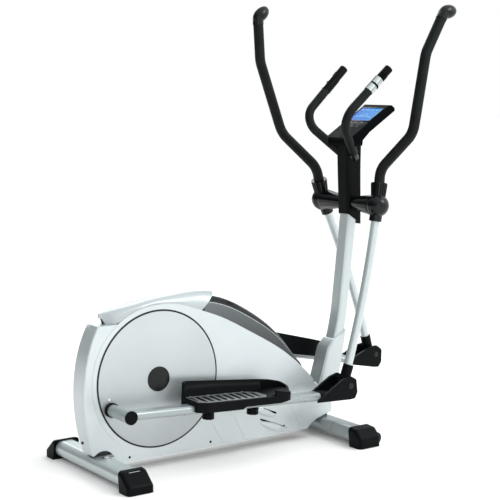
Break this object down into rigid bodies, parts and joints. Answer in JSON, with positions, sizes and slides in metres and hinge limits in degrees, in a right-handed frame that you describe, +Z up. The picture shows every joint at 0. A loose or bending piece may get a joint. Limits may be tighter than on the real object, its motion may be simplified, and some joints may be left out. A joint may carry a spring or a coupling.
{
  "type": "elliptical trainer",
  "caption": "Rear-crank elliptical cross trainer with swing arms, tray pedals on long bars, an enclosed belt-driven flywheel, fixed pulse handlebars and a console.",
  "frame": {"origin": "on the floor, below the middle of the machine's overall length and width", "axes": "+X forward, the way the user faces, +Y to the user's left, +Z up"},
  "size_m": [1.4737, 0.667, 1.661],
  "materials": {
    "silver_casing": "satin silver-white moulded plastic",
    "smoked_panel": "smoky dark moulded panel",
    "silver_paint": "silver paint",
    "frame_steel": "black powder coat",
    "black_paint": "black paint under the foam",
    "bearing_steel": "turned steel",
    "flywheel_iron": "machined cast iron",
    "black_plastic": "satin black moulding",
    "black_gloss": "semi-gloss black moulding",
    "grip_foam": "matte closed-cell foam grip",
    "belt_rubber": "ribbed drive belt",
    "wheel_rubber": "solid rubber wheel",
    "pulse_metal": "bright contact plate",
    "tread_metal": "silver grip strips",
    "screen_blue": "blue display",
    "button_grey": "dark grey key"
  },
  "bodies": {
    "frame": {"casing_left_shell": "silver_casing", "casing_right_shell": "silver_casing", "casing_hood": "silver_casing", "casing_inset_panel": "smoked_panel", "casing_front_cover": "silver_casing", "base_frame": "frame_steel", "rear_stabilizer": "silver_paint", "front_stabilizer": "silver_paint", "stabilizer_end_caps": "black_plastic", "crank_bearings": "bearing_steel", "drive_belt": "belt_rubber", "brake_magnet": "frame_steel", "mast_tube": "silver_paint", "mast_sheath": "silver_casing", "mast_shroud": "black_plastic", "pivot_axle": "bearing_steel", "console_housing": "black_plastic", "console_screen": "screen_blue", "left_fixed_handlebar": "black_paint", "right_fixed_handlebar": "black_paint", "fixed_bar_foam": "grip_foam", "pulse_pads": "pulse_metal", "fixed_bar_end_caps": "black_plastic", "power_inlet": "black_plastic"},
    "crank": {"crank_axle": "bearing_steel", "crank_discs": "silver_casing", "hub_caps": "black_gloss", "drive_pulley": "black_plastic"},
    "flywheel": {"flywheel": "flywheel_iron"},
    "left_arm": {"left_pivot_housing": "black_gloss", "left_upper_tube": "black_paint", "left_grip_foam": "grip_foam", "left_grip_knob": "grip_foam", "left_lower_tube": "silver_paint", "left_lower_boot": "black_plastic"},
    "left_bar": {"left_pedal_bar": "silver_paint", "left_hub_trim": "black_plastic", "left_bar_pins": "bearing_steel", "left_fork_covers": "black_plastic", "left_pedal": "black_plastic", "left_pedal_tread": "tread_metal", "left_pedal_knobs": "black_plastic"},
    "left_wheel": {"left_transport_wheel": "wheel_rubber"},
    "right_arm": {"right_pivot_housing": "black_gloss", "right_upper_tube": "black_paint", "right_grip_foam": "grip_foam", "right_grip_knob": "grip_foam", "right_lower_tube": "silver_paint", "right_lower_boot": "black_plastic"},
    "right_bar": {"right_pedal_bar": "silver_paint", "right_hub_trim": "black_plastic", "right_bar_pins": "bearing_steel", "right_fork_covers": "black_plastic", "right_pedal": "black_plastic", "right_pedal_tread": "tread_metal", "right_pedal_knobs": "black_plastic"},
    "right_wheel": {"right_transport_wheel": "wheel_rubber"},
    "left_button": {"console_button_left": "button_grey"},
    "centre_button": {"console_button_centre": "button_grey"},
    "right_button": {"console_button_right": "button_grey"}
  },
  "joints": [
    {"name": "crank_spin", "type": "hinge", "parent": "frame", "child": "crank", "pos_m": [-0.438, 0, 0.318], "axis": [0, 1, 0], "continuous": true},
    {"name": "flywheel_spin", "type": "hinge", "parent": "frame", "child": "flywheel", "pos_m": [-0.008, 0, 0.26], "axis": [0, 1, 0], "continuous": true},
    {"name": "right_arm_swing", "type": "hinge", "parent": "frame", "child": "right_arm", "pos_m": [0.467, -0.168, 0.898], "axis": [0, 1, 0], "range_deg": [-34.4, 1.9]},
    {"name": "left_arm_swing", "type": "hinge", "parent": "frame", "child": "left_arm", "pos_m": [0.467, 0.168, 0.898], "axis": [0, 1, 0], "range_deg": [-2, 34.5]},
    {"name": "right_bar_pivot", "type": "hinge", "parent": "right_arm", "child": "right_bar", "pos_m": [0.32269, -0.149, 0.21914], "axis": [0, 1, 0], "range_deg": [-2.61, 43.83]},
    {"name": "left_bar_pivot", "type": "hinge", "parent": "left_arm", "child": "left_bar", "pos_m": [0.70326, 0.149, 0.24542], "axis": [0, 1, 0], "range_deg": [-43.83, 2.61]},
    {"name": "left_wheel_spin", "type": "hinge", "parent": "frame", "child": "left_wheel", "pos_m": [0.379, 0.272, 0.026], "axis": [0, 1, 0], "continuous": true},
    {"name": "right_wheel_spin", "type": "hinge", "parent": "frame", "child": "right_wheel", "pos_m": [0.379, -0.272, 0.026], "axis": [0, 1, 0], "continuous": true},
    {"name": "left_button_press", "type": "slide", "parent": "frame", "child": "left_button", "axis": [0.5373, 0, -0.8434], "range_m": [0, 0.0012], "stiffness_N_per_m": 400},
    {"name": "centre_button_press", "type": "slide", "parent": "frame", "child": "centre_button", "axis": [0.5373, 0, -0.8434], "range_m": [0, 0.0012], "stiffness_N_per_m": 400},
    {"name": "right_button_press", "type": "slide", "parent": "frame", "child": "right_button", "axis": [0.5373, 0, -0.8434], "range_m": [0, 0.0012], "stiffness_N_per_m": 400}
  ],
  "couplings": [
    {"joint": "flywheel_spin", "follows": "crank_spin", "ratio": 9},
    {"joint": "left_arm_swing", "follows": "right_arm_swing", "ratio": -1},
    {"joint": "right_bar_pivot", "follows": "right_arm_swing", "ratio": -1.2683},
    {"joint": "left_bar_pivot", "follows": "right_arm_swing", "ratio": 1.2683}
  ]
}
